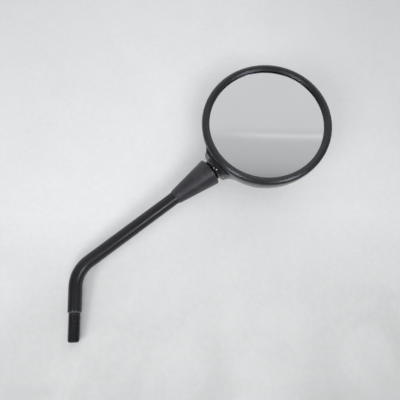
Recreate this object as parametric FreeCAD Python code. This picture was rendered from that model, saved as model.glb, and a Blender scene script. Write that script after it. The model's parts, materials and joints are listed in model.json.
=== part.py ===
import FreeCAD, Part
import math
import os

# Driving dimensions, in millimetres and degrees

# Stem: a round bar with a threaded lower end and one bend
thread_diameter = 10.0
thread_length = 23.8
thread_tip_chamfer = 1.2
stem_diameter = 11.6
shoulder_chamfer = 0.5
shoulder_to_corner = 34.6
bend_angle = 54.3
bend_radius = 26.0
corner_to_ball = 154.5

# Ball stud, screwed into the top of the stem and locked with a thin nut
ball_diameter = 14.0
neck_diameter = 7.0
neck_in_boot = 4.0
stud_diameter = 8.0
stud_chamfer = 0.8
stud_grip = 16.0
jam_nut_flats = 13.0
jam_nut_height = 4.0
jam_nut_gap = 1.0
lock_washer_width = 2.6
lock_washer_height = 1.6
lock_washer_split = 1.0

# Boot: a rubber cone on the stem
boot_mouth_diameter = 24.6
boot_tail_diameter = 13.4
boot_tail_step = 1.6
boot_tail_lip = 0.5
boot_length = 40.0
boot_wall = 2.6
boot_hollow = 12.0
boot_edge_round = 1.3
boot_gap = 1.2

# Ball socket: nylon liner in a die-cast housing, loaded by disc springs behind a plug
running_fit = 0.1
liner_wall = 1.1
head_tilt_range = 15.0
lip_margin = 2.0
ring_front_angle = 52.0
ring_back_angle = 95.0
seat_margin_angle = 3.0
cup_front_angle = 125.0
cup_floor = 3.2
cup_slide_fit = 0.15
bore_relief = 0.2
collar_wall = 1.7
collar_length = 4.0
collar_round = 2.2
collar_mouth_margin = 0.35
housing_step = 0.6
spring_thickness = 0.8
spring_cone = 0.4
spring_bore = 8.2
spring_side_gap = 0.4
plug_length = 6.5
plug_recess = 1.6
plug_hex = 8.0
plug_hex_depth = 4.0
flange_thickness = 3.0
flange_ear_radius = 3.6
flange_hole_spacing = 7.0
flange_hole_offset = 5.3
gasket_thickness = 1.0
gasket_clearance = 0.05

# Screws that hold the housing to the shell, with washers and brass inserts
screw_diameter = 3.0
screw_hole_clearance = 0.2
screw_head_diameter = 5.5
screw_head_height = 2.0
screw_head_side = 1.2
washer_diameter = 6.4
washer_thickness = 0.5
insert_diameter = 4.2
insert_length = 4.5
slot_width = 0.8
slot_depth = 0.9

# Glass and its rubber channel
visible_glass_diameter = 102.0
glass_lip_overlap = 2.5
glass_thickness = 2.6
glass_face_radius = 1200.0
channel_wall = 0.6
channel_depth = 1.7

# Foam pad and backing plate
foam_thickness = 1.6
foam_edge_inset = 2.2
plate_edge_thickness = 2.2
plate_rim_clearance = 0.3
plate_screw_inset = 9.5
plate_screw_angle = 55.0
plate_screw_grip = 7.0

# Bezel
lip_thickness = 0.8
lip_back_height = 1.6
crest_height = 3.3
crest_round = 0.7
crest_inset = 3.1
pocket_clearance = 0.1
seat_width = 0.8
skirt_clearance = 0.1
skirt_wall = 2.4
skirt_length = 5.0
skirt_taper = 0.2
bead_height = 0.35
bead_half_width = 0.5
bead_lift = 0.9

# Shell
part_line_gap = 0.3
part_line_step = 0.5
shell_wall = 2.4
spigot_wall = 2.1
flank_height = 7.0
flank_draft = 7.0
inner_draft = 3.0
shoulder_round = 20.0
back_clearance = 2.5
joint_axis_depth = 18.0
ball_inset = 3.0
boss_overhang = 3.8
boss_wall = 1.8
boss_clearance = 0.2
boss_bore_clearance = 0.15
boss_bore_length = 5.8
boss_blend = 15.0
post_radius = 3.6

# Sizes that follow from the driving dimensions
thread_radius = thread_diameter / 2
stem_radius = stem_diameter / 2
ball_radius = ball_diameter / 2
neck_radius = neck_diameter / 2
stud_radius = stud_diameter / 2
screw_radius = screw_diameter / 2

liner_inner = ball_radius + running_fit
liner_outer = liner_inner + liner_wall
cavity_radius = liner_outer + running_fit
bore_radius = cavity_radius + bore_relief
collar_radius = cavity_radius + collar_wall
housing_radius = collar_radius + housing_step
hollow_radius = housing_radius + boss_clearance
boss_radius = hollow_radius + boss_wall

boss_end = boss_overhang
collar_end = boss_end + collar_length
boot_mouth = collar_end + boot_gap
boss_shoulder = boss_end - boss_bore_length
housing_shoulder = boss_shoulder - gasket_thickness
neck_end = boot_mouth + neck_in_boot
nut_start = neck_end + jam_nut_gap
washer_start = nut_start + jam_nut_height
stem_end = washer_start + lock_washer_height
stud_end = stem_end + stud_grip

cup_back = -cavity_radius - cup_floor
spring_height = spring_thickness + spring_cone
plug_front = cup_back - 2 * spring_height
plug_back = plug_front - plug_length
housing_back = plug_back - plug_recess

lip_radius = visible_glass_diameter / 2
glass_radius = lip_radius + glass_lip_overlap
channel_radius = glass_radius + channel_wall
pocket_radius = channel_radius + pocket_clearance
spigot_radius = pocket_radius + seat_width
skirt_radius = spigot_radius + skirt_clearance
bezel_radius = skirt_radius + skirt_wall
spigot_inner = spigot_radius - spigot_wall

glass_edge_front = lip_back_height - channel_wall
glass_edge_back = glass_edge_front - glass_thickness
spigot_top = glass_edge_back - channel_wall
plate_radius = spigot_inner - plate_rim_clearance
part_line = -skirt_length
shell_top = part_line - part_line_gap
shell_top_radius = bezel_radius - part_line_step

ball_to_axis = bezel_radius - ball_inset
inner_depth = joint_axis_depth + housing_radius + back_clearance
shell_depth = inner_depth + shell_wall
flank_end = -shell_top + flank_height

# Frames: the joint frame has Z along the upper stem, away from the glass's centre, and the head frame
# has Z out of the glass and X towards the ball
V = FreeCAD.Vector
rise = math.radians(90 - bend_angle)
upward = V(math.cos(rise), 0, math.sin(rise))
out_of_glass = V(0, -1, 0)
corner = V(0, 0, shoulder_to_corner)
ball_centre = corner + upward * corner_to_ball
glass_centre = ball_centre + upward * ball_to_axis + out_of_glass * joint_axis_depth


def frame(origin, x_axis, z_axis):
    turn = FreeCAD.Rotation(x_axis, z_axis.cross(x_axis), z_axis, "ZXY")
    return FreeCAD.Placement(origin, turn)


joint_frame = frame(ball_centre, out_of_glass, upward * -1)
head_frame = frame(glass_centre, upward * -1, out_of_glass)
socket_in_head = frame(V(ball_to_axis, 0, -joint_axis_depth), V(0, 0, 1), V(1, 0, 0))


# Shape helpers
def outline(start, *steps):
    """A closed face in the XZ plane. A step is a point, or a pair of points for an arc through both."""
    edges = []
    first = V(start[0], 0, start[1])
    here = first
    for step in steps:
        if isinstance(step[0], tuple):
            via, end = (V(p[0], 0, p[1]) for p in step)
            edges.append(Part.Arc(here, via, end).toShape())
        else:
            end = V(step[0], 0, step[1])
            edges.append(Part.makeLine(here, end))
        here = end
    if not here.isEqual(first, 1e-6):
        edges.append(Part.makeLine(here, first))
    return Part.Face(Part.Wire(edges))


def turned(start, *steps):
    """A solid of revolution about Z from an outline of (radius, height) points."""
    return outline(start, *steps).revolve(V(0, 0, 0), V(0, 0, 1), 360)


def on_sphere(radius, angle):
    """The (radius, height) point of a sphere, at an angle from the +Z pole."""
    return (radius * math.sin(math.radians(angle)), radius * math.cos(math.radians(angle)))


def sphere_arc(radius, start, end):
    """An arc step along a sphere's outline from one polar angle to another."""
    return (on_sphere(radius, (start + end) / 2), on_sphere(radius, end))


def round_bar(radius, bottom, top, x=0.0, y=0.0):
    return Part.makeCylinder(radius, top - bottom, V(x, y, bottom))


def hexagon(flats, bottom, top):
    corner_radius = flats / math.sqrt(3)
    angles = [math.radians(60 * i) for i in range(7)]
    points = [V(corner_radius * math.cos(a), corner_radius * math.sin(a), bottom) for a in angles]
    return Part.Face(Part.makePolygon(points)).extrude(V(0, 0, top - bottom))


def placed(shape, placement):
    shape.Placement = placement.multiply(shape.Placement)
    return shape


os.makedirs("parts", exist_ok=True)


def save(name, shape, placement=FreeCAD.Placement()):
    placed(shape, placement).exportStep(f"parts/{name}.step")


# Stem
def stem():
    """Bent bar: plain threaded spigot below the shoulder, bend in the XZ plane, tapped hole on top."""
    tangent = bend_radius * math.tan(math.radians(bend_angle) / 2)
    bend_start = corner - V(0, 0, tangent)
    bend_end = corner + upward * tangent
    bend_centre = bend_start + V(bend_radius, 0, 0)
    bend_middle = bend_centre + (corner - bend_centre).normalize() * bend_radius
    top = ball_centre - upward * stem_end
    path = Part.Wire([
        Part.makeLine(V(0, 0, shoulder_chamfer), bend_start),
        Part.Arc(bend_start, bend_middle, bend_end).toShape(),
        Part.makeLine(bend_end, top),
    ])
    section = Part.Wire(Part.makeCircle(stem_radius, V(0, 0, shoulder_chamfer)))
    bar = path.makePipe(Part.Face(section))
    spigot = turned(
        (0, shoulder_chamfer),
        (stem_radius, shoulder_chamfer),
        (stem_radius - shoulder_chamfer, 0),
        (thread_radius, 0),
        (thread_radius, thread_tip_chamfer - thread_length),
        (thread_radius - thread_tip_chamfer, -thread_length),
        (0, -thread_length),
    )
    tapped_hole = placed(round_bar(stud_radius, stem_end, stud_end + stud_chamfer), joint_frame)
    return bar.fuse(spigot).cut(tapped_hole).removeSplitter()


# Ball stud and its lock
def ball_stud():
    neck_angle = math.degrees(math.asin(neck_radius / ball_radius))
    return turned(
        (0, -ball_radius),
        sphere_arc(ball_radius, 180, neck_angle),
        (neck_radius, neck_end - (stud_radius - neck_radius)),
        (stud_radius, neck_end),
        (stud_radius, stud_end - stud_chamfer),
        (stud_radius - stud_chamfer, stud_end),
        (0, stud_end),
    )


def jam_nut():
    """Thin hexagon nut, with its corners turned off at both faces."""
    across_corners = jam_nut_flats / math.sqrt(3)
    corner_drop = (across_corners - jam_nut_flats / 2) * math.tan(math.radians(30))
    crown = turned(
        (0, nut_start),
        (jam_nut_flats / 2, nut_start),
        (across_corners, nut_start + corner_drop),
        (across_corners, washer_start - corner_drop),
        (jam_nut_flats / 2, washer_start),
        (0, washer_start),
    )
    blank = hexagon(jam_nut_flats, nut_start, washer_start).common(crown)
    return blank.cut(round_bar(stud_radius, nut_start, washer_start))


def lock_washer():
    """Spring washer, split on one side."""
    outer = stud_radius + lock_washer_width
    ring = round_bar(outer, washer_start, stem_end).cut(round_bar(stud_radius, washer_start, stem_end))
    split = Part.makeBox(outer, lock_washer_split, lock_washer_height, V(0, 0, washer_start))
    return ring.cut(split)


def boot():
    """Rubber cone, hollow round the nut, with a thin lip where it grips the stem."""
    mouth = boot_mouth_diameter / 2
    tail = boot_tail_diameter / 2
    tail_end = boot_mouth + boot_length
    cone_end = tail_end - boot_tail_step
    cone_slope = (mouth - tail) / (cone_end - boot_mouth)
    round_offset = boot_edge_round * (1 - math.sqrt(0.5))
    hollow_end = stem_end + boot_wall
    hollow_back = min(boot_hollow + boot_mouth, stem_end)
    return turned(
        (mouth - boot_wall, boot_mouth),
        (mouth - boot_edge_round, boot_mouth),
        (
            (mouth - round_offset, boot_mouth + round_offset),
            (mouth - cone_slope * boot_edge_round, boot_mouth + boot_edge_round),
        ),
        (tail, cone_end),
        (stem_radius + boot_tail_lip, cone_end),
        (stem_radius + boot_tail_lip, tail_end),
        (stem_radius, tail_end),
        (stem_radius, hollow_end),
        (mouth - boot_wall - cone_slope * (hollow_back - boot_mouth), hollow_back),
    )


# Liner of the ball
def ball_ring():
    """Outer half of the nylon liner, between the ball and the lip of the socket."""
    return turned(
        on_sphere(liner_inner, ring_front_angle),
        on_sphere(liner_outer, ring_front_angle),
        sphere_arc(liner_outer, ring_front_angle, ring_back_angle),
        on_sphere(liner_inner, ring_back_angle),
        sphere_arc(liner_inner, ring_back_angle, ring_front_angle),
    )


seat_angle = ring_back_angle + head_tilt_range + seat_margin_angle


def ball_seat():
    """Inner half of the nylon liner: a cap that clears the ring through the whole tilt."""
    return turned(
        (0, -liner_inner),
        sphere_arc(liner_inner, 180, seat_angle),
        on_sphere(liner_outer, seat_angle),
        sphere_arc(liner_outer, seat_angle, 180),
    )


# Socket housing and what loads the ball
flange_x = housing_radius + flange_hole_offset
flange_back_hole = housing_back + flange_ear_radius
flange_front_hole = flange_back_hole + flange_hole_spacing
flange_holes = [
    (side * flange_x, height)
    for side in (-1, 1)
    for height in (flange_back_hole, flange_front_hole)
]

# The stem leans furthest when both tilts are at their limits, and the lip of the socket clears its neck
full_lean = math.acos(math.cos(math.radians(head_tilt_range)) ** 2)
lip_angle = math.degrees(math.asin(neck_radius / cavity_radius) + full_lean) + lip_margin
mouth_radius = (
    collar_end * math.tan(full_lean) + neck_radius / math.cos(full_lean) + collar_mouth_margin
)


def socket_housing():
    """Die-cast socket: collar with a spherical lip, spring bore behind it, flange at mid height."""
    round_middle = collar_round * (1 - math.sqrt(0.5))
    body = turned(
        (bore_radius, housing_back),
        (housing_radius, housing_back),
        (housing_radius, housing_shoulder),
        (collar_radius, housing_shoulder),
        (collar_radius, collar_end - collar_round),
        (
            (collar_radius - round_middle, collar_end - round_middle),
            (collar_radius - collar_round, collar_end),
        ),
        (mouth_radius, collar_end),
        on_sphere(cavity_radius, lip_angle),
        sphere_arc(cavity_radius, lip_angle, 90),
        (bore_radius, 0),
    )
    depth = flange_front_hole - flange_back_hole + 2 * flange_ear_radius
    width = 2 * (flange_x + flange_ear_radius)
    plate = Part.makeBox(
        flange_thickness, width, depth, V(-flange_thickness / 2, -width / 2, housing_back)
    )
    corners = [e for e in plate.Edges if abs(abs(e.tangentAt(0).x) - 1) < 1e-6]
    plate = plate.makeFillet(flange_ear_radius, corners)
    plate = plate.cut(round_bar(bore_radius, housing_back, 0))
    hole_radius = screw_radius + screw_hole_clearance
    for y, z in flange_holes:
        plate = plate.cut(
            Part.makeCylinder(hole_radius, flange_thickness, V(-flange_thickness / 2, y, z), V(1, 0, 0))
        )
    return body.fuse(plate).removeSplitter()


def thrust_cup():
    """Steel cup behind the liner's cap."""
    slide_radius = bore_radius - cup_slide_fit
    front = on_sphere(cavity_radius, cup_front_angle)
    return turned(
        (0, -cavity_radius),
        sphere_arc(cavity_radius, 180, cup_front_angle),
        (slide_radius, front[1]),
        (slide_radius, cup_back),
        (0, cup_back),
    )


def disc_springs():
    """Two cone-shaped spring washers, set face to face."""
    inner = spring_bore / 2
    outer = bore_radius - spring_side_gap
    springs = []
    for end, way in ((cup_back, -1), (plug_front, 1)):
        springs.append(turned(
            (inner, end),
            (inner, end + way * spring_thickness),
            (outer, end + way * spring_height),
            (outer, end + way * spring_cone),
        ))
    return Part.makeCompound(springs)


def tension_plug():
    """Threaded plug with a hexagon socket, which sets the friction of the ball."""
    plug = round_bar(bore_radius, plug_back, plug_front)
    return plug.cut(hexagon(plug_hex, plug_back, plug_back + plug_hex_depth))


def socket_gasket():
    """Flat rubber ring between the housing's shoulder and the shell's boss."""
    ring = round_bar(hollow_radius - gasket_clearance, housing_shoulder, boss_shoulder)
    return ring.cut(round_bar(collar_radius, housing_shoulder, boss_shoulder))


# Screws, with Z along the screw from its seat towards its head
def pan_screw(length):
    """Pan-head screw with a slot."""
    head_radius = screw_head_diameter / 2
    screw = turned(
        (0, -length),
        (screw_radius, -length),
        (screw_radius, 0),
        (head_radius, 0),
        (head_radius, screw_head_side),
        (head_radius - screw_head_side / 2, screw_head_height),
        (0, screw_head_height),
    )
    slot = Part.makeBox(
        screw_head_diameter,
        slot_width,
        slot_depth,
        V(-head_radius, -slot_width / 2, screw_head_height - slot_depth),
    )
    return screw.cut(slot)


flange_top = -joint_axis_depth + flange_thickness / 2
flange_bottom = -joint_axis_depth - flange_thickness / 2
socket_points = [(ball_to_axis + along, side) for side, along in flange_holes]
plate_screw_radius = glass_radius - plate_screw_inset
plate_points = [
    (
        plate_screw_radius * math.cos(math.radians(angle)),
        plate_screw_radius * math.sin(math.radians(angle)),
    )
    for angle in (
        plate_screw_angle,
        180 - plate_screw_angle,
        180 + plate_screw_angle,
        360 - plate_screw_angle,
    )
]


def at_points(piece, points, height):
    """One copy of a piece at each point of the head, at one height, as a group of solids."""
    return Part.makeCompound([piece.translated(V(x, y, height)) for x, y in points])


def socket_screws():
    length = washer_thickness + flange_thickness + insert_length
    return at_points(pan_screw(length), socket_points, flange_top + washer_thickness)


def socket_washers():
    ring = round_bar(washer_diameter / 2, 0, washer_thickness)
    return at_points(ring.cut(round_bar(screw_radius, 0, washer_thickness)), socket_points, flange_top)


def threaded_inserts():
    ring = round_bar(insert_diameter / 2, -insert_length, 0)
    return at_points(ring.cut(round_bar(screw_radius, -insert_length, 0)), socket_points, flange_bottom)


# Glass, with the centres of its curved faces on the head's axis
def face_height(radius, edge_height, edge_radius, face_radius):
    """Height of a curved face at a radius, when its edge is at a known height."""
    return (
        edge_height
        + math.sqrt(face_radius**2 - radius**2)
        - math.sqrt(face_radius**2 - edge_radius**2)
    )


def lens(radius, front_edge, back_edge, edge_radius, front_face, back_face=None):
    """A disc with a domed front, and a back that is domed alike or flat, from heights at its edge."""

    def front(r):
        return face_height(r, front_edge, edge_radius, front_face)

    def back(r):
        return face_height(r, back_edge, edge_radius, back_face) if back_face else back_edge

    half = radius / 2
    back_step = ((half, back(half)), (radius, back(radius))) if back_face else (radius, back(radius))
    return turned(
        (0, back(0)),
        back_step,
        (radius, front(radius)),
        ((half, front(half)), (0, front(0))),
    )


foam_face = glass_face_radius - glass_thickness
foam_edge_back = glass_edge_back - foam_thickness
plate_face = foam_face - foam_thickness
plate_back = foam_edge_back - plate_edge_thickness
plate_seat = plate_edge_thickness / 2


def mirror_glass():
    return lens(
        glass_radius, glass_edge_front, glass_edge_back, glass_radius, glass_face_radius, foam_face
    )


def glass_channel():
    """Rubber channel pressed on the edge of the glass."""
    inner = glass_radius - channel_depth
    ring = turned(
        (inner, spigot_top),
        (channel_radius, spigot_top),
        (channel_radius, lip_back_height),
        (inner, lip_back_height),
    )
    return ring.cut(mirror_glass())


def foam_pad():
    """Adhesive foam between glass and plate, with holes for the heads of the plate's screws."""
    radius = glass_radius - foam_edge_inset
    pad = lens(radius, glass_edge_back, foam_edge_back, glass_radius, foam_face, plate_face)
    hole = round_bar(screw_head_diameter / 2 + foam_thickness / 2, foam_edge_back, glass_edge_front)
    for x, y in plate_points:
        pad = pad.cut(hole.translated(V(x, y, 0)))
    return pad


def backing_plate():
    """Moulded plate, domed like the glass and flat behind, with sunk seats for its screws."""
    plate = lens(plate_radius, foam_edge_back, plate_back, glass_radius, plate_face)
    shank = round_bar(screw_radius + screw_hole_clearance, plate_back, glass_edge_back)
    seat = round_bar(
        screw_head_diameter / 2 + screw_hole_clearance, plate_back + plate_seat, glass_edge_back
    )
    for x, y in plate_points:
        plate = plate.cut(shank.translated(V(x, y, 0))).cut(seat.translated(V(x, y, 0)))
    return plate


def backing_screws():
    length = plate_seat + plate_screw_grip
    return at_points(pan_screw(length), plate_points, plate_back + plate_seat)


# Bezel
def bezel():
    """Ring that hooks over the glass and snaps on the shell, crowned along the middle of its face."""
    crest_radius = bezel_radius - crest_inset
    lip_front = lip_back_height + lip_thickness
    inner_slope = (crest_height - lip_front) / (crest_radius - crest_round - lip_radius)
    crest_side = crest_height - inner_slope * crest_round
    bulge = math.sqrt(0.5)
    shoulder = crest_radius + crest_round
    bead = part_line + bead_lift
    return turned(
        (lip_radius, lip_back_height),
        (lip_radius, lip_front),
        (crest_radius - crest_round, crest_side),
        ((crest_radius, crest_height), (shoulder, crest_side)),
        (
            (shoulder + (bezel_radius - shoulder) * bulge, crest_side * bulge),
            (bezel_radius, 0),
        ),
        (bezel_radius - skirt_taper, part_line),
        (skirt_radius, part_line),
        (skirt_radius, bead - bead_half_width),
        (skirt_radius - bead_height, bead),
        (skirt_radius, bead + bead_half_width),
        (skirt_radius, spigot_top),
        (pocket_radius, spigot_top),
        (pocket_radius, lip_back_height),
    )


# Shell
def dome(top_radius, top, draft, depth, round_radius):
    """A bowl: drafted flank, rounded shoulder and shallow crown, each tangent to the next."""
    lean = math.radians(draft)
    flank_radius = top_radius - (top + flank_end) * math.tan(lean)
    centre = (flank_radius - round_radius * math.cos(lean), flank_end - round_radius * math.sin(lean))
    drop = depth - centre[1]
    crown = (centre[0] ** 2 + drop**2 - round_radius**2) / (2 * (drop - round_radius))
    crown_tilt = math.asin(centre[0] / (crown - round_radius))

    def on_shoulder(angle):
        return (
            centre[0] + round_radius * math.cos(angle),
            -centre[1] - round_radius * math.sin(angle),
        )

    def on_crown(angle):
        return (crown * math.sin(angle), crown - depth - crown * math.cos(angle))

    meeting = math.pi / 2 - crown_tilt
    return turned(
        (0, top),
        (top_radius, top),
        on_shoulder(lean),
        (on_shoulder((lean + meeting) / 2), on_shoulder(meeting)),
        (on_crown(crown_tilt / 2), (0, -depth)),
    )


def shell_outside():
    """Bowl and boss with a wide blend between them, cut off level at the part line and at the boss's end.
    The boss starts over-long, to give the blend room, and the bowl's seam is turned away from it."""
    lean = math.tan(math.radians(flank_draft))
    over = bezel_radius
    bowl = dome(shell_top_radius + (over - shell_top) * lean, over, flank_draft, shell_depth, shoulder_round)
    bowl.rotate(V(0, 0, 0), V(0, 0, 1), 180)
    end_face = ball_to_axis + boss_end
    boss = placed(round_bar(boss_radius, -ball_to_axis / 2, boss_end + 2 * boss_blend), socket_in_head)
    whole = bowl.fuse(boss)
    joins = [
        e for e in whole.Edges
        if e.BoundBox.XMin > ball_to_axis / 2 and e.BoundBox.XMax < end_face
    ]
    whole = whole.makeFillet(boss_blend, joins)
    reach = 3 * bezel_radius
    front = Part.makeBox(reach, reach, reach, V(-reach / 2, -reach / 2, shell_top))
    beyond_boss = Part.makeBox(reach, reach, reach, V(end_face, -reach / 2, -reach / 2))
    return whole.cut(front).cut(beyond_boss)


def shell():
    """Moulded back: spigot for the bezel, boss bored for the socket, posts for both sets of screws."""
    outside = shell_outside()
    bead = part_line + bead_lift
    spigot = turned(
        (spigot_inner - shell_wall, shell_top - flank_height / 2),
        (spigot_radius, shell_top - flank_height / 2),
        (spigot_radius, bead - bead_half_width - skirt_clearance),
        (spigot_radius - bead_height, bead),
        (spigot_radius, bead + bead_half_width + skirt_clearance),
        (spigot_radius, spigot_top),
        (spigot_inner - shell_wall, spigot_top),
    )
    bowl = outside.fuse(spigot)
    bowl = bowl.cut(dome(spigot_inner, spigot_top, inner_draft, inner_depth, shoulder_round - shell_wall))
    hollow = placed(round_bar(hollow_radius, -ball_to_axis / 2, boss_shoulder), socket_in_head)
    bore = placed(
        round_bar(collar_radius + boss_bore_clearance, boss_shoulder, boss_end), socket_in_head
    )
    bowl = bowl.cut(hollow).cut(bore)
    for points, top, hole_radius, hole_depth in (
        (socket_points, flange_bottom, insert_diameter / 2, insert_length),
        (plate_points, plate_back, screw_radius, plate_screw_grip),
    ):
        for x, y in points:
            post = round_bar(post_radius, -shell_depth, top, x, y).common(outside)
            bowl = bowl.fuse(post).cut(round_bar(hole_radius, top - hole_depth, top, x, y))
    return bowl.removeSplitter()


save("stem", stem())
for piece in (
    ball_stud,
    jam_nut,
    lock_washer,
    boot,
    ball_ring,
    ball_seat,
    socket_housing,
    thrust_cup,
    disc_springs,
    tension_plug,
    socket_gasket,
):
    save(piece.__name__, piece(), joint_frame)
for piece in (
    socket_screws,
    socket_washers,
    threaded_inserts,
    mirror_glass,
    glass_channel,
    foam_pad,
    backing_plate,
    backing_screws,
    bezel,
    shell,
):
    save(piece.__name__, piece(), head_frame)
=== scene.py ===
import json
import math

import bmesh
import bpy
from mathutils import Matrix, Vector


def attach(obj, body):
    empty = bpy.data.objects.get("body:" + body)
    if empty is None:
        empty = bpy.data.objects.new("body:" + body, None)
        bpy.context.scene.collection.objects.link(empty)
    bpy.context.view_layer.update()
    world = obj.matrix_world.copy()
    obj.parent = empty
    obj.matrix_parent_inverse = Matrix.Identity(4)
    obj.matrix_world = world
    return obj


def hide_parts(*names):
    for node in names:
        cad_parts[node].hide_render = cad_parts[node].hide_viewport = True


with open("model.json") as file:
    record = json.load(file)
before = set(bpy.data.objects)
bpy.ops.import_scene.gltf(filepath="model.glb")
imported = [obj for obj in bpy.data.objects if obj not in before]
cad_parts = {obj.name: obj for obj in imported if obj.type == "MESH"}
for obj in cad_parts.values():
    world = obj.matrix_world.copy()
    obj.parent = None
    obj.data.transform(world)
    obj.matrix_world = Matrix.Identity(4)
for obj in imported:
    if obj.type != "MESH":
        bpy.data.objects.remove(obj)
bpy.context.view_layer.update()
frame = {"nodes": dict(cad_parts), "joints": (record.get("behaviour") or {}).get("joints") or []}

nodes = frame["nodes"]
mm = 0.001


# Stem: a steel bar, bent once and coated satin black, with a 10 mm thread rolled on its lower end.
# The shoulder above the thread seats on the handlebar clamp, and the hole in the top takes the ball stud.
thread_radius = 5.0
thread_root = 4.45
thread_pitch = 1.25
thread_length = 23.8
thread_tip_chamfer = 1.2
relief_radius = 4.8
bar_radius = 5.8
shoulder_chamfer = 0.5
shoulder_to_corner = 34.6
bend_angle = math.radians(54.3)
bend_radius = 26.0
corner_to_bar_end = 134.9
stud_hole_radius = 4.0
stud_hole_depth = 16.8
crest_share = 0.14
flank_share = 0.24
run_out_start = 2.4
run_out_length = 0.8
edge_ease = 0.04
row_step = 0.1
rub_core = 0.2
rub_edge = 0.5
bar_sides = 72
rows_in_a_pitch = 20
lower_rows, bend_rows, upper_rows = 8, 28, 24


def skin(name, rows, ring=False, crease=34):
    """A closed skin over rows of points. A row of one point closes an end, and a ring joins its last row
    to its first. Edges sharper than the crease angle stay crisp."""
    build = bmesh.new()
    made = [[build.verts.new(point) for point in row] for row in rows]
    pairs = list(zip(made, made[1:]))
    if ring:
        pairs.append((made[-1], made[0]))
    for low, high in pairs:
        count = max(len(low), len(high))
        for i in range(count):
            j = (i + 1) % count
            corners = (low[i % len(low)], low[j % len(low)], high[j % len(high)], high[i % len(high)])
            build.faces.new(list(dict.fromkeys(corners)))
    bmesh.ops.recalc_face_normals(build, faces=build.faces)
    mesh = bpy.data.meshes.new(name)
    build.to_mesh(mesh)
    build.free()
    mesh.shade_smooth()
    mesh.set_sharp_from_angle(angle=math.radians(crease))
    piece = bpy.data.objects.new(name, mesh)
    bpy.context.scene.collection.objects.link(piece)
    return piece


def between(low, high, count):
    """Evenly spaced values from low to high, both included."""
    return [low + (high - low) * i / count for i in range(count + 1)]


def eased(share):
    """A smooth step from 0 to 1."""
    share = min(1.0, max(0.0, share))
    return share * share * (3 - 2 * share)


bend_tangent = bend_radius * math.tan(bend_angle / 2)
bend_start = shoulder_to_corner - bend_tangent
bend_end = bend_start + bend_radius * bend_angle
bar_end = bend_end + corner_to_bar_end - bend_tangent


def bar_point(along, turn, radius):
    """A point of the bar: a distance along its bent middle line, a share of a turn round it, a radius."""
    lean = min(bend_angle, max(0.0, (along - bend_start) / bend_radius))
    straight = along if along < bend_start else max(0.0, along - bend_end)
    forward = Vector((math.sin(lean), 0, math.cos(lean)))
    middle = forward * straight
    if along >= bend_start:
        swept = Vector((1 - math.cos(lean), 0, math.sin(lean))) * bend_radius
        middle += Vector((0, 0, bend_start)) + swept
    angle = turn * math.tau
    sideways = Vector((math.cos(lean), 0, -math.sin(lean))) * math.cos(angle)
    return (middle + (sideways + Vector((0, math.sin(angle), 0))) * radius) * mm


def thread_profile(along, turn):
    """Radius of the right-hand thread, chamfered at the tip and running out under the shoulder."""
    from_crest = abs((along / thread_pitch - turn) % 1.0 - 0.5)
    flank = min(1.0, max(0.0, (from_crest - crest_share) / flank_share))
    ridge = thread_radius - (thread_radius - thread_root) * flank
    run_out = eased((along + run_out_start) / run_out_length)
    ridge += (relief_radius - ridge) * run_out
    return min(ridge, thread_radius - thread_tip_chamfer + along + thread_length)


def bar_row(along, radius):
    """A round row of points on the bar."""
    return [bar_point(along, i / bar_sides, radius) for i in range(bar_sides)]


rows = [[bar_point(-thread_length, 0, 0)]]
thread_rows = round(thread_length / thread_pitch * rows_in_a_pitch)
for along in between(-thread_length, -2 * edge_ease, thread_rows):
    turns = [i / bar_sides for i in range(bar_sides)]
    rows.append([bar_point(along, turn, thread_profile(along, turn)) for turn in turns])
outer = bar_radius - shoulder_chamfer
rows.append(bar_row(0, relief_radius + row_step))
rows.append(bar_row(0, outer - row_step))
rows.append(bar_row(edge_ease, outer + edge_ease))
rows.append(bar_row(shoulder_chamfer - 1.5 * edge_ease, bar_radius - edge_ease))
lower_bar = between(shoulder_chamfer + row_step, bend_start, lower_rows)
bent_bar = between(bend_start, bend_end, bend_rows)[1:]
upper_bar = between(bend_end, bar_end - shoulder_chamfer, upper_rows)[1:]
for along in lower_bar + bent_bar + upper_bar:
    rows.append(bar_row(along, bar_radius))
rows.append(bar_row(bar_end, outer))
rows.append(bar_row(bar_end, stud_hole_radius))
rows.append(bar_row(bar_end - stud_hole_depth, stud_hole_radius))
rows.append([bar_point(bar_end - stud_hole_depth, 0, 0)])
stem_bar = skin("stem_bar", rows)


def effect(name, inputs, outputs):
    """An empty shader node group with number sockets, and its ways in and out."""
    group = bpy.data.node_groups.new(name, "ShaderNodeTree")
    for label in inputs:
        group.interface.new_socket(label, in_out="INPUT", socket_type="NodeSocketFloat")
    for label in outputs:
        group.interface.new_socket(label, in_out="OUTPUT", socket_type="NodeSocketFloat")
    return group, group.nodes.new("NodeGroupInput"), group.nodes.new("NodeGroupOutput")


def noise(tree, vector, scale, detail=2.0, distortion=0.0):
    """Noise from 0 to 1 over the piece, its scale in features a metre, either a number or a socket."""
    texture = tree.nodes.new("ShaderNodeTexNoise")
    tree.links.new(vector, texture.inputs["Vector"])
    texture.inputs["Detail"].default_value = detail
    texture.inputs["Distortion"].default_value = distortion
    if isinstance(scale, bpy.types.NodeSocket):
        tree.links.new(scale, texture.inputs["Scale"])
    else:
        texture.inputs["Scale"].default_value = scale
    return texture.outputs["Fac"]


def spread(tree, value, low, high, to_low=0.0, to_high=1.0):
    """A value stretched from one range to another, and held there."""
    node = tree.nodes.new("ShaderNodeMapRange")
    node.inputs["From Min"].default_value = low
    node.inputs["From Max"].default_value = high
    node.inputs["To Min"].default_value = to_low
    node.inputs["To Max"].default_value = to_high
    tree.links.new(value, node.inputs["Value"])
    return node.outputs["Result"]


def sums(tree, operation, first, second):
    """One arithmetic step; the second term is a socket or a number."""
    node = tree.nodes.new("ShaderNodeMath")
    node.operation = operation
    tree.links.new(first, node.inputs[0])
    if isinstance(second, bpy.types.NodeSocket):
        tree.links.new(second, node.inputs[1])
    else:
        node.inputs[1].default_value = second
    return node.outputs["Value"]


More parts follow.
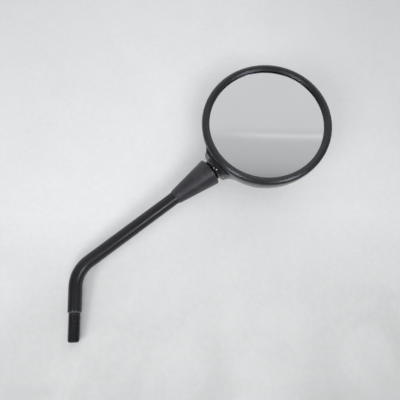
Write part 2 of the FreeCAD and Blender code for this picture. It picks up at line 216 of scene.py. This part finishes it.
def piece_place(tree):
    """Places on the piece itself, in metres, so that marks stay with it when it moves."""
    return tree.nodes.new("ShaderNodeTexCoord").outputs["Object"]


# Grain of a coated, moulded or cast face: fine bumps, and slow patches of tone.
surface_grain, way_in, way_out = effect("surface_grain", ["Grain", "Patch"], ["Bumps", "Patches"])
place = piece_place(surface_grain)
bumps = noise(surface_grain, place, way_in.outputs["Grain"], 3.0)
patches = noise(surface_grain, place, way_in.outputs["Patch"], 4.0, 0.6)
surface_grain.links.new(bumps, way_out.inputs["Bumps"])
surface_grain.links.new(spread(surface_grain, patches, 0.32, 0.68), way_out.inputs["Patches"])

# Marks of handling: soft smudges, and sparse hair-fine rubs.
handling_marks, way_in, way_out = effect("handling_marks", ["Smudge", "Rub"], ["Smudges", "Rubs"])
place = piece_place(handling_marks)
smudges = noise(handling_marks, place, way_in.outputs["Smudge"], 5.0, 1.4)
stretch = handling_marks.nodes.new("ShaderNodeMapping")
stretch.inputs["Rotation"].default_value = (0.5, 0.3, 0.8)
stretch.inputs["Scale"].default_value = (1.0, 0.06, 0.35)
handling_marks.links.new(place, stretch.inputs["Vector"])
rubs = noise(handling_marks, stretch.outputs["Vector"], way_in.outputs["Rub"], 1.0)
handling_marks.links.new(spread(handling_marks, smudges, 0.42, 0.66), way_out.inputs["Smudges"])
handling_marks.links.new(spread(handling_marks, rubs, 0.69, 0.76), way_out.inputs["Rubs"])


def finish(name, **constants):
    """A new material with its shader's plain sockets set; an underscore stands for a space."""
    material = bpy.data.materials.new(name)
    material.use_nodes = True
    shader = material.node_tree.nodes["Principled BSDF"]
    for label, value in constants.items():
        shader.inputs[label.replace("_", " ")].default_value = value
    return material, material.node_tree, shader


def placed_effect(tree, group, **values):
    """The outputs of a shared effect, placed in a material with its numbers set."""
    node = tree.nodes.new("ShaderNodeGroup")
    node.node_tree = group
    for label, value in values.items():
        node.inputs[label].default_value = value
    return node.outputs


def two_tones(tree, mask, first, second):
    """A colour that runs from the first to the second with a mask; each is a colour or a socket.
    Sockets 6 and 7 of the node are its two colours, and its output 2 is their mix."""
    node = tree.nodes.new("ShaderNodeMix")
    node.data_type = "RGBA"
    tree.links.new(mask, node.inputs["Factor"])
    for index, tone in ((6, first), (7, second)):
        if isinstance(tone, bpy.types.NodeSocket):
            tree.links.new(tone, node.inputs[index])
        else:
            node.inputs[index].default_value = (*tone, 1)
    return node.outputs[2]


def tint(tree, shader, mask, first, second):
    """Run the base colour from one tone to another with a mask."""
    tree.links.new(two_tones(tree, mask, first, second), shader.inputs["Base Color"])


def vary(tree, shader, label, mask, low, high):
    """Run one of the shader's values from low to high with a mask."""
    tree.links.new(spread(tree, mask, 0, 1, low, high), shader.inputs[label])


def rubbed_gloss(tree, shader, marks, clean, smudged, rubbed):
    """Roughness of a handled face: clean, smudged, and what hair-fine rubs add to it."""
    smudge = spread(tree, marks["Smudges"], 0, 1, clean, smudged)
    rub = spread(tree, marks["Rubs"], 0, 1, 0, rubbed)
    tree.links.new(sums(tree, "ADD", smudge, rub), shader.inputs["Roughness"])


def embossed(tree, shader, height, depth_mm):
    """Fine relief on a face, its depth in millimetres."""
    node = tree.nodes.new("ShaderNodeBump")
    node.inputs["Distance"].default_value = depth_mm * mm
    tree.links.new(height, node.inputs["Height"])
    tree.links.new(node.outputs["Normal"], shader.inputs["Normal"])


def dress(material, slot_name, *pieces):
    """Give pieces a material. The slot name is not used."""
    for piece in pieces:
        piece.data.materials.clear()
        piece.data.materials.append(material)


stem_coat, tree, shader = finish("stem_coat", Specular_IOR_Level=0.5)
grain = placed_effect(tree, surface_grain, Grain=900.0, Patch=45.0)
marks = placed_effect(tree, handling_marks, Smudge=60.0, Rub=900.0)
coat_tone = two_tones(tree, grain["Patches"], (0.0045, 0.0045, 0.0060), (0.0075, 0.0075, 0.0090))
bar_place = tree.nodes.new("ShaderNodeSeparateXYZ")
tree.links.new(piece_place(tree), bar_place.inputs["Vector"])
from_chamfer = sums(tree, "SUBTRACT", bar_place.outputs["Z"], shoulder_chamfer / 2 * mm)
shoulder_band = sums(tree, "ABSOLUTE", from_chamfer, 0.0)
shoulder_rub = spread(tree, shoulder_band, rub_core * mm, rub_edge * mm, 0.55, 0.0)
tint(tree, shader, shoulder_rub, coat_tone, (0.16, 0.16, 0.16))
rubbed_gloss(tree, shader, marks, 0.33, 0.40, 0.08)
embossed(tree, shader, grain["Bumps"], 0.02)
dress(stem_coat, "stem_paint", stem_bar)
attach(stem_bar, "stem")
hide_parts("stem")


# Ball stud, jam nut and lock washer: the turned steel ball on its neck, blacked and polished, and the
# zinc-plated nut and spring washer that lock its shank in the top of the stem. They show only past the boot.
black_polish, tree, shader = finish("black_polish", Coat_Roughness=0.08)
grain = placed_effect(tree, surface_grain, Grain=1500.0, Patch=120.0)
marks = placed_effect(tree, handling_marks, Smudge=150.0, Rub=2200.0)
tint(tree, shader, grain["Patches"], (0.016, 0.016, 0.018), (0.023, 0.023, 0.025))
vary(tree, shader, "Roughness", marks["Smudges"], 0.16, 0.26)
vary(tree, shader, "Coat Weight", grain["Patches"], 0.7, 1.0)
embossed(tree, shader, grain["Bumps"], 0.004)
dress(black_polish, "black_steel", nodes["ball_stud"])

zinc_plate, tree, shader = finish("zinc_plate", Metallic=1.0)
grain = placed_effect(tree, surface_grain, Grain=2600.0, Patch=260.0)
marks = placed_effect(tree, handling_marks, Smudge=220.0, Rub=3000.0)
tint(tree, shader, grain["Patches"], (0.56, 0.56, 0.54), (0.66, 0.66, 0.65))
vary(tree, shader, "Roughness", marks["Smudges"], 0.28, 0.44)
embossed(tree, shader, grain["Bumps"], 0.006)
dress(zinc_plate, "zinc_steel", nodes["jam_nut"], nodes["lock_washer"])


# Boot: a cone of moulded rubber, stretched over the stem, that keeps rain out of the ball joint.
# Its wide mouth stands just clear of the socket's collar, and a thin lip at its tail grips the bar.
boot_mouth_radius = 12.8
boot_tail_radius = 6.7
boot_lip_radius = 6.3
boot_wall = 2.6
boot_mouth = 9.0
boot_cone_end = 47.4
boot_tail_end = 49.0
boot_hollow_back = 19.6
boot_hollow_end = 22.2
boot_sides = 96
cone_rows = 10

swivel = next(joint for joint in frame["joints"] if joint["name"] == "head_swivel")
ball_centre = Vector(swivel["pos_m"])
up_stem = Vector(swivel["axis"]).normalized()
out_of_glass = Vector((0, -1, 0))


def standing(origin, x_axis, z_axis):
    """A place with its own axes, as a matrix."""
    turned = Matrix((x_axis, z_axis.cross(x_axis), z_axis)).transposed()
    return Matrix.Translation(origin) @ turned.to_4x4()


joint_place = standing(ball_centre, out_of_glass, -up_stem)


def softened(corners, steps=5, ring=False):
    """An outline with its corners eased. Each corner is (radius, height) or (radius, height, rounding)."""
    outline = []
    for i, corner in enumerate(corners):
        here = Vector(corner[:2])
        rounding = corner[2] if len(corner) > 2 else 0
        at_end = not ring and i in (0, len(corners) - 1)
        if not rounding or at_end:
            outline.append(tuple(here))
            continue
        before = Vector(corners[i - 1][:2]) - here
        after = Vector(corners[(i + 1) % len(corners)][:2]) - here
        reach = min(rounding, before.length * 0.48, after.length * 0.48)
        start, end = here + before.normalized() * reach, here + after.normalized() * reach
        for t in between(0, 1, steps):
            outline.append(tuple(start * (1 - t) ** 2 + here * 2 * t * (1 - t) + end * t * t))
    return outline


def turned_piece(name, outline, position, sides, ring=False, crease=34):
    """A turned or moulded round piece: an outline of (radius, height) points swept round its own axis."""
    angles = [math.tau * i / sides for i in range(sides)]
    rows = []
    for radius, height in outline:
        circle = angles if radius > 0 else [0.0]
        points = [Vector((radius * math.cos(a), radius * math.sin(a), height)) * mm for a in circle]
        rows.append([position @ point for point in points])
    return skin(name, rows, ring, crease)


cone_slope = (boot_mouth_radius - boot_tail_radius) / (boot_cone_end - boot_mouth)
hollow_mouth = boot_mouth_radius - boot_wall
hollow_inner = hollow_mouth - cone_slope * (boot_hollow_back - boot_mouth)
cone_steps = between(boot_mouth + 3.0, boot_cone_end - 2.0, cone_rows)
boot_outline = softened([
    (hollow_mouth, boot_mouth, 0.4),
    (boot_mouth_radius, boot_mouth, 1.0),
    *[(boot_mouth_radius - cone_slope * (z - boot_mouth), z) for z in cone_steps],
    (boot_tail_radius, boot_cone_end, 0.7),
    (boot_lip_radius, boot_cone_end, 0.15),
    (boot_lip_radius, boot_tail_end, 0.4),
    (bar_radius, boot_tail_end),
    (bar_radius, boot_hollow_end),
    (hollow_inner, boot_hollow_back),
], ring=True)
boot_cone = turned_piece("boot_cone", boot_outline, joint_place, boot_sides, ring=True)

boot_rubber, tree, shader = finish("boot_rubber", Specular_IOR_Level=0.55)
grain = placed_effect(tree, surface_grain, Grain=2400.0, Patch=90.0)
marks = placed_effect(tree, handling_marks, Smudge=110.0, Rub=1500.0)
rubber_tone = two_tones(tree, grain["Patches"], (0.015, 0.014, 0.019), (0.020, 0.019, 0.024))
dusty_smudge = spread(tree, marks["Smudges"], 0, 1, 0, 0.3)
tint(tree, shader, dusty_smudge, rubber_tone, (0.045, 0.043, 0.049))
vary(tree, shader, "Roughness", marks["Smudges"], 0.38, 0.46)
embossed(tree, shader, grain["Bumps"], 0.03)
dress(boot_rubber, "boot_rubber", boot_cone)
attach(boot_cone, "stem")
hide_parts("boot")


# Liner: two moulded nylon shells between ball and socket. The ring turns with the swivel, and the cap
# tilts with the head, so that plastic always runs on polished steel.
nylon, tree, shader = finish("nylon", Subsurface_Weight=0.1, Subsurface_Scale=0.002)
grain = placed_effect(tree, surface_grain, Grain=1800.0, Patch=160.0)
tint(tree, shader, grain["Patches"], (0.74, 0.72, 0.65), (0.80, 0.78, 0.72))
vary(tree, shader, "Roughness", grain["Patches"], 0.40, 0.55)
embossed(tree, shader, grain["Bumps"], 0.01)
dress(nylon, "nylon", nodes["ball_ring"], nodes["ball_seat"])


# Socket: a die-cast housing in gloss black paint, whose collar shows between boot and shell. A steel cup,
# two disc springs and a threaded plug inside it press the liner on the ball; a rubber ring seals it.
socket_paint, tree, shader = finish("socket_paint", Coat_Roughness=0.06)
grain = placed_effect(tree, surface_grain, Grain=1100.0, Patch=110.0)
marks = placed_effect(tree, handling_marks, Smudge=140.0, Rub=1800.0)
tint(tree, shader, grain["Patches"], (0.008, 0.008, 0.009), (0.012, 0.012, 0.013))
vary(tree, shader, "Roughness", marks["Smudges"], 0.18, 0.28)
vary(tree, shader, "Coat Weight", grain["Patches"], 0.6, 1.0)
embossed(tree, shader, grain["Bumps"], 0.008)
dress(socket_paint, "socket_paint", nodes["socket_housing"])
dress(zinc_plate, "zinc_steel", nodes["thrust_cup"], nodes["disc_springs"], nodes["tension_plug"])

seal_rubber, tree, shader = finish("seal_rubber", Specular_IOR_Level=0.4)
grain = placed_effect(tree, surface_grain, Grain=2200.0, Patch=150.0)
tint(tree, shader, grain["Patches"], (0.024, 0.024, 0.024), (0.036, 0.036, 0.036))
vary(tree, shader, "Roughness", grain["Patches"], 0.6, 0.75)
embossed(tree, shader, grain["Bumps"], 0.015)
dress(seal_rubber, "seal_rubber", nodes["socket_gasket"])


# Shell: the moulded back of the head in gloss black plastic, with the boss that holds the socket. Four
# screws run through the socket's ears into brass inserts, which are pressed hot into posts in the shell.
shell_gloss, tree, shader = finish("shell_gloss", Coat_Roughness=0.05, Specular_IOR_Level=0.5)
grain = placed_effect(tree, surface_grain, Grain=420.0, Patch=30.0)
marks = placed_effect(tree, handling_marks, Smudge=45.0, Rub=700.0)
tint(tree, shader, grain["Patches"], (0.017, 0.018, 0.020), (0.024, 0.025, 0.027))
rubbed_gloss(tree, shader, marks, 0.22, 0.32, 0.07)
vary(tree, shader, "Coat Weight", marks["Smudges"], 0.35, 0.15)
embossed(tree, shader, grain["Bumps"], 0.012)
dress(shell_gloss, "shell_plastic", nodes["shell"])
dress(zinc_plate, "zinc_steel", nodes["socket_screws"], nodes["socket_washers"])

insert_brass, tree, shader = finish("insert_brass", Metallic=1.0)
grain = placed_effect(tree, surface_grain, Grain=3000.0, Patch=400.0)
tint(tree, shader, grain["Patches"], (0.70, 0.53, 0.25), (0.80, 0.63, 0.32))
vary(tree, shader, "Roughness", grain["Patches"], 0.25, 0.4)
embossed(tree, shader, grain["Bumps"], 0.01)
dress(insert_brass, "insert_brass", nodes["threaded_inserts"])


# Backing plate: a moulded black plate, screwed to four posts of the shell, that carries the glass on a
# pad of sticky foam.
plate_plastic, tree, shader = finish("plate_plastic", Specular_IOR_Level=0.45)
grain = placed_effect(tree, surface_grain, Grain=1400.0, Patch=60.0)
tint(tree, shader, grain["Patches"], (0.050, 0.050, 0.051), (0.068, 0.068, 0.069))
vary(tree, shader, "Roughness", grain["Patches"], 0.5, 0.65)
embossed(tree, shader, grain["Bumps"], 0.02)
dress(plate_plastic, "plate_plastic", nodes["backing_plate"])
dress(zinc_plate, "zinc_steel", nodes["backing_screws"])

foam, tree, shader = finish("foam", Specular_IOR_Level=0.2)
cells = tree.nodes.new("ShaderNodeTexVoronoi")
cells.inputs["Scale"].default_value = 2500.0
tree.links.new(piece_place(tree), cells.inputs["Vector"])
cell_depth_and_pit_shade = cells.outputs["Distance"]
# Painted shade: the foam is coloured darker in the pits of its cells.
tint(tree, shader, cell_depth_and_pit_shade, (0.035, 0.035, 0.035), (0.065, 0.065, 0.064))
vary(tree, shader, "Roughness", cell_depth_and_pit_shade, 0.8, 0.95)
embossed(tree, shader, cell_depth_and_pit_shade, 0.15)
dress(foam, "foam", nodes["foam_pad"])


# Glass: a slightly convex disc of float glass, ground round its edge, with a film of silver laid on its
# back. A rubber channel pressed on the edge seats it in the bezel without a rattle.
ball_to_axis = 54.5
joint_axis_depth = 18.0
glass_radius = 53.5
glass_front_edge = 1.0
silver_depth = 1.3
silver_gap = 0.01
silver_thickness = 0.08
silver_margin = 0.6
glass_face_radius = 1200.0
glass_edge_ease = 0.35
glass_rings = 26
glass_sides = 160

glass_centre = ball_centre + (up_stem * ball_to_axis + out_of_glass * joint_axis_depth) * mm
head_place = standing(glass_centre, -up_stem, out_of_glass)


def glass_height(radius, edge_height):
    """Height of a face of the glass, from the height at its edge."""
    return edge_height + (glass_radius**2 - radius**2) / (2 * glass_face_radius)


flat_radius = glass_radius - glass_edge_ease
back_edge = glass_front_edge - silver_depth
face_radii = between(0, flat_radius, glass_rings)
back_face = [(r, glass_height(r, back_edge)) for r in face_radii]
front_face = [(r, glass_height(r, glass_front_edge)) for r in reversed(face_radii)]
ground_edge = [
    (glass_radius, back_edge + glass_edge_ease),
    (glass_radius, glass_front_edge - glass_edge_ease),
]
glass_disc = turned_piece(
    "glass_disc", back_face + ground_edge + front_face, head_place, glass_sides, crease=20
)

clear_glass, tree, shader = finish("clear_glass", Transmission_Weight=1.0, IOR=1.52)
grain = placed_effect(tree, surface_grain, Grain=200.0, Patch=22.0)
marks = placed_effect(tree, handling_marks, Smudge=28.0, Rub=380.0)
tint(tree, shader, grain["Patches"], (0.977, 0.981, 0.984), (0.986, 0.989, 0.991))
vary(tree, shader, "Roughness", marks["Smudges"], 0.0, 0.02)
dress(clear_glass, "mirror_coat", glass_disc)
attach(glass_disc, "head")
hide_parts("mirror_glass")

silver_radii = between(0, flat_radius - silver_margin, glass_rings)
silver_edge = back_edge - silver_gap
silver_front = [(r, glass_height(r, silver_edge)) for r in reversed(silver_radii)]
silver_back = [(r, glass_height(r, silver_edge - silver_thickness)) for r in silver_radii]
silver_film = turned_piece("silver_film", silver_back + silver_front, head_place, glass_sides, crease=20)

silver, tree, shader = finish("silver", Metallic=1.0)
grain = placed_effect(tree, surface_grain, Grain=300.0, Patch=18.0)
tint(tree, shader, grain["Patches"], (0.885, 0.888, 0.897), (0.899, 0.902, 0.911))
vary(tree, shader, "Roughness", grain["Patches"], 0.005, 0.02)
dress(silver, "mirror_coat", silver_film)
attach(silver_film, "head")
dress(seal_rubber, "seal_rubber", nodes["glass_channel"])


# Bezel: the moulded front ring in satin black plastic. It hooks over the edge of the glass, is crowned
# along the middle of its face, and snaps on a bead of the shell's spigot.
lip_radius = 50.9
lip_back = 1.6
lip_front = 1.9
lip_tip = 1.3
lip_root = 51.7
bevel_end = 53.2
bevel_top = 3.13
crest_radius = 54.4
crest_height = 3.3
crest_round = 0.7
crest_drop = 0.233
crest_steps = 8
crown_steps = 14
bezel_radius = 57.5
skirt_foot = 57.3
skirt_inner = 55.1
part_line = -5.0
bead = part_line + 0.9
bead_height = 0.35
bead_half = 0.5
seat_height = -2.2
pocket_radius = 54.2
bezel_sides = 192

crest_side = crest_height - crest_drop
crown_start = crest_radius + crest_round


def arc_through(start, via, end, count):
    """Points along the circle's arc that passes through three points, both ends included."""
    a, b, c = Vector(start), Vector(via), Vector(end)
    chord, lift = b - a, c - a
    cross = 2 * chord.cross(lift)
    middle = a + Vector((
        lift.y * chord.length_squared - chord.y * lift.length_squared,
        chord.x * lift.length_squared - lift.x * chord.length_squared,
    )) / cross
    first = math.atan2(a.y - middle.y, a.x - middle.x)
    turn = (a - middle).angle_signed(c - middle) * -1
    reach = (a - middle).length
    return [
        (middle.x + reach * math.cos(first + t), middle.y + reach * math.sin(first + t))
        for t in between(0, turn, count)
    ]


bulge = math.sqrt(0.5)
bevel = [
    (lip_radius + (bevel_end - lip_radius) * x, lip_front + (bevel_top - lip_front) * x)
    for x in between(0, 1, 4)
]
crest_arc = arc_through(
    (crest_radius - crest_round, crest_side),
    (crest_radius, crest_height),
    (crown_start, crest_side),
    crest_steps,
)
crown_arc = arc_through(
    (crown_start, crest_side),
    (crown_start + (bezel_radius - crown_start) * bulge, crest_side * bulge),
    (bezel_radius, 0),
    crown_steps,
)
bezel_outline = softened([
    (lip_radius, lip_tip, 0.1),
    *bevel,
    (crest_radius - crest_round / 2, crest_height - crest_drop / 4),
    *crest_arc[crest_steps // 2:],
    *crown_arc[1:],
    (skirt_foot, part_line, 0.4),
    (skirt_inner, part_line, 0.2),
    (skirt_inner, bead - bead_half),
    (skirt_inner - bead_height, bead, 0.2),
    (skirt_inner, bead + bead_half),
    (skirt_inner, seat_height),
    (pocket_radius, seat_height, 0.1),
    (pocket_radius, lip_back),
    (lip_root, lip_back),
], ring=True)
bezel_ring = turned_piece("bezel_ring", bezel_outline, head_place, bezel_sides, ring=True, crease=40)

bezel_satin, tree, shader = finish("bezel_satin", Specular_IOR_Level=0.5)
grain = placed_effect(tree, surface_grain, Grain=700.0, Patch=40.0)
marks = placed_effect(tree, handling_marks, Smudge=50.0, Rub=800.0)
tint(tree, shader, grain["Patches"], (0.014, 0.0145, 0.018), (0.019, 0.0195, 0.024))
rubbed_gloss(tree, shader, marks, 0.25, 0.32, 0.06)
embossed(tree, shader, grain["Bumps"], 0.01)
dress(bezel_satin, "bezel_plastic", bezel_ring)
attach(bezel_ring, "head")
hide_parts("bezel")


# Table: a board painted white by hand. Low down and to both sides its colour is darkened, a painted shade
# for the falloff of the lamps' light. It comes close under the threaded end and falls away behind the head,
# so that the head has room to turn.
table_under_tip = Vector((0, 6.4, -thread_length)) * mm
towards_head = Vector((0.686, 0, 0.728)).normalized()
table_fall = math.radians(13.5)
table_half = 3.0
board_middle = 120.0
# Heights and distances over which the painted shade darkens the board.
shade_top, shade_foot = 90.0, -100.0
shade_inside, shade_outside = 50.0, 240.0

down_board = towards_head * math.cos(table_fall) - out_of_glass * math.sin(table_fall)
across_board = Vector((-towards_head.z, 0, towards_head.x))
board_corners = [
    table_under_tip + (down_board * x + across_board * y) * table_half
    for x, y in ((-1, -1), (1, -1), (1, 1), (-1, 1))
]
board_mesh = bpy.data.meshes.new("table")
board_mesh.from_pydata(board_corners, [], [(0, 1, 2, 3)])
table = bpy.data.objects.new("table", board_mesh)
bpy.context.scene.collection.objects.link(table)
if board_mesh.polygons[0].normal.dot(out_of_glass) < 0:
    board_mesh.flip_normals()
board_paint, tree, shader = finish("board_paint", Specular_IOR_Level=0.25)
grain = placed_effect(tree, surface_grain, Grain=260.0, Patch=26.0)
marks = placed_effect(tree, handling_marks, Smudge=9.0, Rub=110.0)
paint_and_shade_tone = two_tones(tree, grain["Patches"], (0.775, 0.795, 0.805), (0.800, 0.818, 0.825))
board_place = tree.nodes.new("ShaderNodeSeparateXYZ")
tree.links.new(piece_place(tree), board_place.inputs["Vector"])
# Painted shade: the board's colour darkens towards the bottom and both sides in place of lamp falloff, and
# brush marks add a random tone on top.
painted_shade_below = spread(tree, board_place.outputs["Z"], shade_top * mm, shade_foot * mm)
brush_marks = spread(tree, noise(tree, piece_place(tree), 240.0, 3.0), 0.3, 0.7, 0.0, 0.10)
from_middle = sums(tree, "SUBTRACT", board_place.outputs["X"], board_middle * mm)
off_middle = sums(tree, "ABSOLUTE", from_middle, 0.0)
painted_shade_sides = spread(tree, off_middle, shade_inside * mm, shade_outside * mm, 0.0, 0.24)
painted_shade_and_brush_marks = sums(tree, "ADD", sums(tree, "ADD", painted_shade_below, brush_marks), painted_shade_sides)
paint_and_shade_tone = two_tones(tree, painted_shade_and_brush_marks, paint_and_shade_tone, (0.488, 0.494, 0.499))
soft_smudge = spread(tree, marks["Smudges"], 0, 1, 0, 0.3)
tint(tree, shader, soft_smudge, paint_and_shade_tone, (0.755, 0.770, 0.775))
vary(tree, shader, "Roughness", marks["Smudges"], 0.55, 0.7)
embossed(tree, shader, grain["Bumps"], 0.05)
see_through = tree.nodes.new("ShaderNodeBsdfTransparent")
side_seen = tree.nodes.new("ShaderNodeNewGeometry")
one_sided = tree.nodes.new("ShaderNodeMixShader")
tree.links.new(side_seen.outputs["Backfacing"], one_sided.inputs["Fac"])
tree.links.new(shader.outputs["BSDF"], one_sided.inputs[1])
tree.links.new(see_through.outputs["BSDF"], one_sided.inputs[2])
tree.links.new(one_sided.outputs["Shader"], tree.nodes["Material Output"].inputs["Surface"])
table.data.materials.append(board_paint)


# Light: two lamps lower than the camera throw the soft shadows, a wide fill stands behind it, and two more
# make the sheen on stem and bezel. The glass shows a pale wall with a bright streak, and a dim part below.
lamp_target = Vector((105, 10, 95)) * mm


def lamp(name, towards, distance, size, power, colour, lights=True, glints=True):
    """A square lamp that faces the object, in a direction seen from it. One that only lights isn't seen on
    polish, and one that only glints adds no light to the board."""
    light = bpy.data.lights.new(name, "AREA")
    light.size = size
    light.energy = power
    light.color = colour
    away = Vector(towards).normalized()
    holder = bpy.data.objects.new(name, light)
    holder.location = lamp_target + away * distance
    holder.rotation_euler = away.to_track_quat("Z", "Y").to_euler()
    holder.visible_camera = False
    holder.visible_diffuse = lights
    holder.visible_glossy = glints
    holder.visible_transmission = glints
    bpy.context.scene.collection.objects.link(holder)


warm, white, cool = (1.0, 0.99, 0.98), (1.0, 1.0, 1.0), (0.88, 0.90, 1.0)
lamp("right_lamp", (0.145, -1.0, -0.57), distance=1.6, size=0.42, power=7.2, colour=warm, glints=False)
lamp("left_lamp", (-0.48, -1.0, -0.57), distance=1.6, size=0.42, power=7.1, colour=warm, glints=False)
lamp("front_fill", (0.0, -0.966, -0.257), distance=1.4, size=1.2, power=9.0, colour=white, glints=False)
lamp("right_glint", (0.457, -0.776, -0.432), distance=1.4, size=0.30, power=6.7, colour=cool, lights=False)
lamp("left_glint", (-0.356, -0.853, -0.375), distance=1.4, size=0.30, power=5.9, colour=cool, lights=False)

room = bpy.data.worlds.new("room")
room.use_nodes = True
bpy.context.scene.world = room
tree = room.node_tree
air = tree.nodes["Background"]
direction = tree.nodes.new("ShaderNodeTexCoord").outputs["Generated"]


def height_along(axis):
    """How far a direction points along an axis."""
    node = tree.nodes.new("ShaderNodeVectorMath")
    node.operation = "DOT_PRODUCT"
    tree.links.new(direction, node.inputs[0])
    node.inputs[1].default_value = axis
    return node.outputs["Value"]


def toned(value, tones):
    """Greys along a value, from (value, grey) steps."""
    ramp = tree.nodes.new("ShaderNodeValToRGB")
    tree.links.new(value, ramp.inputs["Fac"])
    steps = ramp.color_ramp.elements
    steps[0].position, steps[1].position = tones[0][0], tones[-1][0]
    for position, _ in tones[1:-1]:
        steps.new(position)
    for step, (_, grey) in zip(steps, tones):
        step.color = (grey, grey * 1.005, grey * 1.01, 1)
    return ramp.outputs["Color"]


wall_height = height_along((0.10, 0, 1))
wall_foot = 0.234
low_wall = ((wall_foot, 0.345), (0.249, 0.405), (0.279, 0.475), (0.309, 0.510))
high_wall = ((0.628, 0.680), (0.850, 0.950))
plain_edge = ((0.360, 0.550), (0.386, 0.625), (0.410, 0.655))
bright_streak = ((0.358, 0.550), (0.370, 0.610), (0.380, 0.720), (0.392, 0.595), (0.410, 0.650))
plain_wall = toned(wall_height, low_wall + plain_edge + high_wall)
streaked_wall = toned(wall_height, low_wall + bright_streak + high_wall)
to_the_right = spread(tree, height_along((1, 0, 0)), -0.03, 0.14)
wall = two_tones(tree, to_the_right, plain_wall, streaked_wall)
below_wall = toned(height_along((0, -0.95, -0.31)), ((0.40, 0.26), (0.85, 0.05)))
room_tone = two_tones(tree, spread(tree, wall_height, 0.10, wall_foot), below_wall, wall)
seen = tree.nodes.new("ShaderNodeLightPath").outputs["Is Camera Ray"]
tree.links.new(two_tones(tree, seen, room_tone, (0.72, 0.735, 0.74)), air.inputs["Color"])


# Camera: the photograph's own viewpoint, fitted to the round bezel and the stem. It looks a little upwards
# at the head from below.
camera_place = Vector((108.06, -386.43, -9.85)) * mm
view_forward = Vector((0.00022, 0.96613, 0.25806)).normalized()
view_right = Vector((0.99934, 0.00920, -0.03528)).normalized()
view_up = view_right.cross(view_forward)
camera = bpy.data.objects.new("camera", bpy.data.cameras.new("camera"))
camera.data.sensor_fit = "HORIZONTAL"
camera.data.sensor_width = 36.0
camera.data.lens = 40.5
camera.data.clip_start = 0.01
camera_turn = Matrix((view_right, view_up, -view_forward)).transposed()
camera.matrix_world = Matrix.Translation(camera_place) @ camera_turn.to_4x4()
bpy.context.scene.collection.objects.link(camera)
bpy.context.scene.camera = camera
bpy.context.scene.view_settings.view_transform = "Standard"
